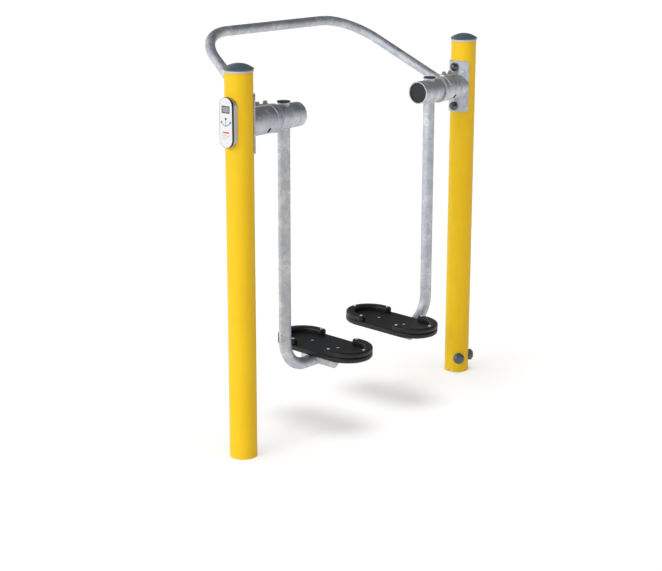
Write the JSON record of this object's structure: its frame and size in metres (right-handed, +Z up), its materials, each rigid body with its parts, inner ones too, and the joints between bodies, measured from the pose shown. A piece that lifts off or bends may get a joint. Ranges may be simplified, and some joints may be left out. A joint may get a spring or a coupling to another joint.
{
  "type": "outdoor air walker",
  "caption": "Outdoor gym air walker: two yellow ground posts carry pivot units with freely swinging galvanised legs and footplates, under a bent handlebar.",
  "frame": {"origin": "on the ground, midway between the axes of the two posts", "axes": "+X along the line of the posts, from the post with the sign to the other post; +Y the way the user faces, toward the handlebar; +Z up"},
  "size_m": [1.4786, 0.6585, 1.5125],
  "materials": {
    "yellow_paint": "smooth yellow powder coat, satin gloss",
    "galvanised_steel": "hot-dip galvanised, mottled grey",
    "machined_steel": "zinc-plated or turned steel, fine sheen",
    "black_plastic": "moulded black plastic, satin",
    "slate_plastic": "moulded dark blue-grey plastic, low gloss",
    "grey_trim": "light grey moulded ring",
    "foot_plastic": "black moulded plastic with a matt, slightly grained face",
    "cast_aluminium": "plain cast grey",
    "sign_white": null
  },
  "bodies": {
    "frame": {"handlebar": "galvanised_steel", "left_bearing_cartridge": "galvanised_steel", "left_ground_anchor": "galvanised_steel", "left_housing": "galvanised_steel", "left_inner_bearing": "machined_steel", "left_inner_lock_screw": "machined_steel", "left_lower_plate_bolt": "machined_steel", "left_outer_bearing": "machined_steel", "left_outer_lock_screw": "machined_steel", "left_post": "yellow_paint", "left_post_cap": "slate_plastic", "left_post_ring": "grey_trim", "left_saddle_plate": "galvanised_steel", "left_upper_plate_bolt": "machined_steel", "right_anchor_bolt_inner": "machined_steel", "right_anchor_bolt_outer": "machined_steel", "right_anchor_cover_inner": "slate_plastic", "right_anchor_cover_outer": "slate_plastic", "right_bearing_cartridge": "galvanised_steel", "right_ground_anchor": "galvanised_steel", "right_housing": "galvanised_steel", "right_inner_bearing": "machined_steel", "right_inner_lock_screw": "machined_steel", "right_lower_bolt_cap": "black_plastic", "right_lower_plate_bolt": "machined_steel", "right_outer_bearing": "machined_steel", "right_outer_lock_screw": "machined_steel", "right_post": "yellow_paint", "right_post_cap": "slate_plastic", "right_post_ring": "grey_trim", "right_saddle_plate": "galvanised_steel", "right_upper_bolt_cap": "black_plastic", "right_upper_plate_bolt": "machined_steel", "sign_body": "cast_aluminium", "sign_face": "sign_white", "sign_gasket": "black_plastic"},
    "left_leg": {"left_arm": "galvanised_steel", "left_end_plug": "black_plastic", "left_foot_bracket": "galvanised_steel", "left_footplate": "foot_plastic", "left_front_foot_screw": "machined_steel", "left_front_rim": "foot_plastic", "left_hub": "galvanised_steel", "left_rear_foot_screw": "machined_steel", "left_rear_rim": "foot_plastic", "left_shaft": "machined_steel", "left_stub_cap": "black_plastic"},
    "right_leg": {"right_arm": "galvanised_steel", "right_end_plug": "black_plastic", "right_foot_bracket": "galvanised_steel", "right_footplate": "foot_plastic", "right_front_foot_screw": "machined_steel", "right_front_rim": "foot_plastic", "right_hub": "galvanised_steel", "right_rear_foot_screw": "machined_steel", "right_rear_rim": "foot_plastic", "right_shaft": "machined_steel", "right_stub_cap": "black_plastic"}
  },
  "joints": [
    {"name": "left_swing", "type": "hinge", "parent": "frame", "child": "left_leg", "pos_m": [-0.4401, 0, 1.2285], "axis": [1, 0, 0], "range_deg": [-45, 45]},
    {"name": "right_swing", "type": "hinge", "parent": "frame", "child": "right_leg", "pos_m": [0.4401, 0, 1.2285], "axis": [1, 0, 0], "range_deg": [-45, 45]}
  ]
}
